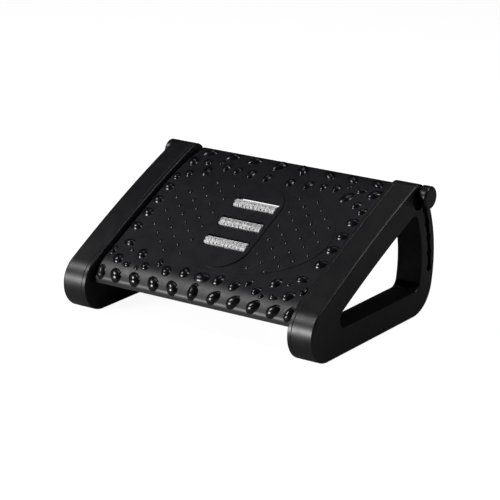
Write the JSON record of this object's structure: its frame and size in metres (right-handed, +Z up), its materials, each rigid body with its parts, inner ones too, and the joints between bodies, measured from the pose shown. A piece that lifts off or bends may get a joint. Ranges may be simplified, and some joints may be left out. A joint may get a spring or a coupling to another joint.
{
  "type": "tilting footrest",
  "caption": "Under-desk footrest: two hollow side frames carry a bumped massage platform with rollers that tilts on a front rod and clamps with side knobs in notched slots.",
  "frame": {"origin": "on the floor, under the middle of the whole footrest", "axes": "+X to the user's right along the rods, +Y to the back where the platform is highest, +Z up"},
  "size_m": [0.4712, 0.328, 0.2029],
  "materials": {
    "frame_plastic": "fine satin texture",
    "platform_plastic": "satin, bumps slightly glossier",
    "knob_plastic": "satin gloss",
    "roller_plastic": "smooth off-white",
    "hidden_plastic": "as moulded",
    "bearing_plastic": "natural nylon",
    "strip_rubber": "matt",
    "rod_steel": "zinc plated",
    "insert_brass": "machined"
  },
  "bodies": {
    "frame": {"right_frame_shell": "frame_plastic", "left_frame_shell": "frame_plastic", "right_inner_cover": "frame_plastic", "left_inner_cover": "frame_plastic", "right_cover_screws": "rod_steel", "left_cover_screws": "rod_steel", "right_foot_strip": "strip_rubber", "left_foot_strip": "strip_rubber", "right_rod_clip": "rod_steel", "left_rod_clip": "rod_steel", "front_rod": "rod_steel"},
    "platform": {"platform_deck": "platform_plastic", "right_pivot_bush": "bearing_plastic", "left_pivot_bush": "bearing_plastic", "rear_rod": "rod_steel", "right_spacer_sleeve": "hidden_plastic", "left_spacer_sleeve": "hidden_plastic", "right_clamp_washer": "hidden_plastic", "left_clamp_washer": "hidden_plastic", "roller_cradle": "hidden_plastic", "cradle_screws": "rod_steel", "roller_axle_front": "rod_steel", "roller_axle_middle": "rod_steel", "roller_axle_rear": "rod_steel"},
    "front_roller": {"massage_roller_front": "roller_plastic"},
    "middle_roller": {"massage_roller_middle": "roller_plastic"},
    "rear_roller": {"massage_roller_rear": "roller_plastic"},
    "right_clamp": {"right_knob": "knob_plastic", "right_knob_insert": "insert_brass"},
    "left_clamp": {"left_knob": "knob_plastic", "left_knob_insert": "insert_brass"}
  },
  "joints": [
    {"name": "platform_tilt", "type": "hinge", "parent": "frame", "child": "platform", "pos_m": [0, -0.115, 0.0692], "axis": [1, 0, 0], "range_deg": [-25.8, 0]},
    {"name": "front_roller_spin", "type": "hinge", "parent": "platform", "child": "front_roller", "pos_m": [0, -0.05399, 0.11288], "axis": [1, 0, 0], "continuous": true},
    {"name": "middle_roller_spin", "type": "hinge", "parent": "platform", "child": "middle_roller", "pos_m": [0, -0.01711, 0.13199], "axis": [1, 0, 0], "continuous": true},
    {"name": "rear_roller_spin", "type": "hinge", "parent": "platform", "child": "rear_roller", "pos_m": [0, 0.01976, 0.15111], "axis": [1, 0, 0], "continuous": true},
    {"name": "right_knob_turn", "type": "hinge", "parent": "platform", "child": "right_clamp", "pos_m": [0, 0.12308, 0.18327], "axis": [1, 0, 0], "range_deg": [0, 720]},
    {"name": "left_knob_turn", "type": "hinge", "parent": "platform", "child": "left_clamp", "pos_m": [0, 0.12308, 0.18327], "axis": [-1, 0, 0], "range_deg": [0, 720]}
  ]
}
